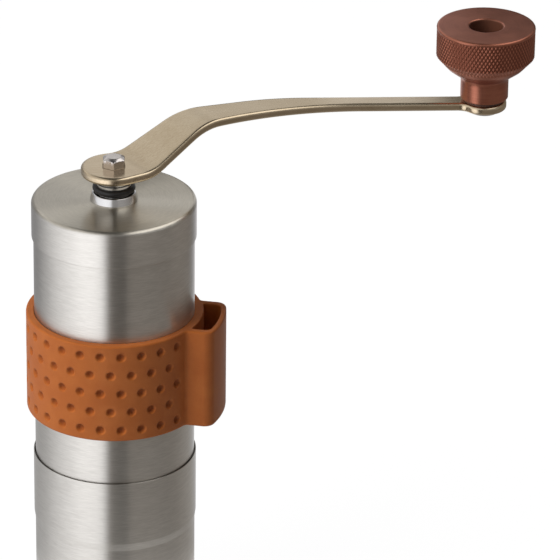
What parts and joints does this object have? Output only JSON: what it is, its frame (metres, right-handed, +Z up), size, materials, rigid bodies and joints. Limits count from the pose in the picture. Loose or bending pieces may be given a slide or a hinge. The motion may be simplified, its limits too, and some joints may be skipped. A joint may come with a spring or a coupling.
{
  "type": "hand crank coffee grinder",
  "caption": "Cylindrical steel hand coffee grinder with a lift-off crank and knob, dimpled silicone grip band with a crank pocket, conical ceramic burrs and a slip-off cup.",
  "frame": {"origin": "centre of the cup's flat underside", "axes": "+Z up along the grinder's axis, +X straight out through the grip band's crank pocket"},
  "size_m": [0.1414, 0.0847, 0.1801],
  "materials": {
    "steel": "circumferentially brushed stainless steel",
    "crank_steel": "polished plate with a champagne tint",
    "shaft_steel": "turned bright steel",
    "collar_chrome": "polished",
    "knob_aluminium": "brown anodised, knurled",
    "band_silicone": "matte tan silicone",
    "o_ring_rubber": "matte black",
    "burr_ceramic": "unglazed white ceramic",
    "housing_plastic": "moulded black",
    "bearing_brass": "sintered bronze, satin"
  },
  "bodies": {
    "cup": {"cup": "steel"},
    "body": {"body_tube": "steel", "burr_housing": "housing_plastic", "shaft_bush": "bearing_brass", "outer_burr": "burr_ceramic", "burr_lock_ring": "housing_plastic"},
    "shaft": {"drive_shaft": "shaft_steel", "thrust_washer": "shaft_steel", "burr_spring": "shaft_steel"},
    "crank": {"crank_arm": "crank_steel", "hub_boss": "collar_chrome", "hub_o_ring": "o_ring_rubber", "knob_spindle": "shaft_steel", "knob_washer": "o_ring_rubber"},
    "knob": {"knob": "knob_aluminium", "knob_bush": "bearing_brass"},
    "lid": {"lid": "steel", "lid_collar": "collar_chrome", "lid_nut": "shaft_steel"},
    "burr": {"inner_burr": "burr_ceramic", "burr_carrier": "housing_plastic"},
    "adjuster": {"adjuster_nut": "housing_plastic"},
    "band": {"grip_band": "band_silicone"}
  },
  "joints": [
    {"name": "body_lift", "type": "slide", "parent": "cup", "child": "body", "axis": [0, 0, 1], "range_m": [0, 0.06]},
    {"name": "crank_turn", "type": "hinge", "parent": "body", "child": "shaft", "pos_m": [0, 0, 0.1], "axis": [0, 0, 1], "continuous": true},
    {"name": "crank_lift", "type": "slide", "parent": "shaft", "child": "crank", "axis": [0, 0, 1], "range_m": [0, 0.06]},
    {"name": "knob_spin", "type": "hinge", "parent": "crank", "child": "knob", "pos_m": [0.10109, 0.04437, 0.16], "axis": [0, 0, 1], "continuous": true},
    {"name": "lid_lift", "type": "slide", "parent": "body", "child": "lid", "axis": [0, 0, 1], "range_m": [0, 0.03]},
    {"name": "burr_slide", "type": "slide", "parent": "shaft", "child": "burr", "axis": [0, 0, 1], "range_m": [-0.0012, 0.0003], "deforming": ["burr_spring"]},
    {"name": "adjuster_turn", "type": "hinge", "parent": "burr", "child": "adjuster", "pos_m": [0, 0, 0.036], "axis": [0, 0, 1], "range_deg": [-540.5, 135.5]},
    {"name": "band_slide", "type": "slide", "parent": "body", "child": "band", "axis": [0, 0, 1], "range_m": [-0.014, 0.022]}
  ],
  "couplings": [
    {"joint": "lid_lift", "follows": "crank_lift", "ratio": 0.5},
    {"joint": "adjuster_turn", "follows": "burr_slide", "rad_per_m": 7854}
  ]
}
